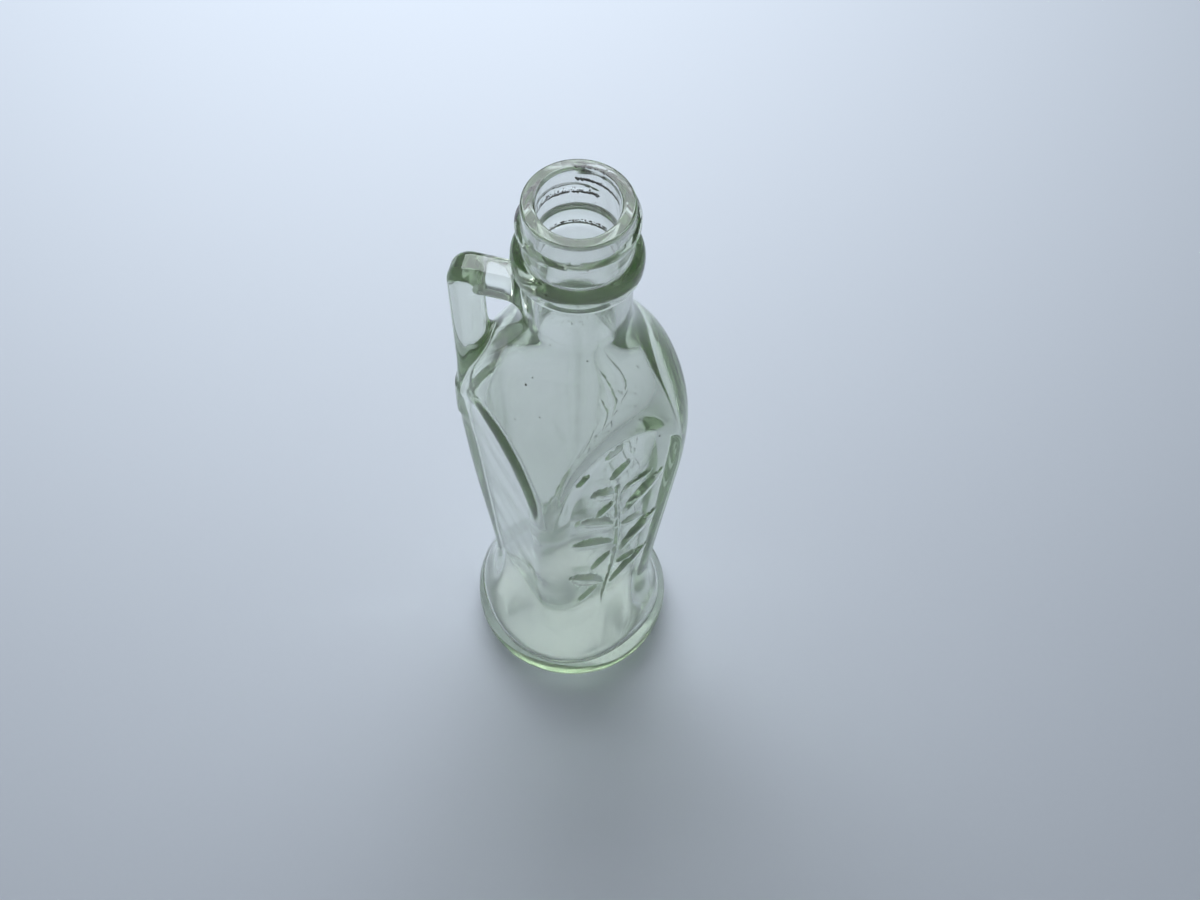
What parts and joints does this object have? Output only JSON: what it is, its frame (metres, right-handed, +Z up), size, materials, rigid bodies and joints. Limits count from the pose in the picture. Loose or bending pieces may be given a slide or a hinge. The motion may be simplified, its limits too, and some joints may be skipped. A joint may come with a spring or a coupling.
{
  "type": "oil bottle",
  "caption": "Small empty oil bottle of pale green moulded glass: round foot, square waist, olive sprig relief, round shoulder, screw neck and a solid glass handle.",
  "frame": {"origin": "centre of the flat base, on the bottle's axis", "axes": "+Z up along the bottle's axis, handle towards -X, one rounded corner of the square waist towards -Y"},
  "size_m": [0.0595, 0.0578, 0.1925],
  "materials": {
    "glass": "clear pale green, fire-polished, with faint mould ripple"
  },
  "bodies": {
    "root": {"bottle": "glass"}
  },
  "joints": []
}
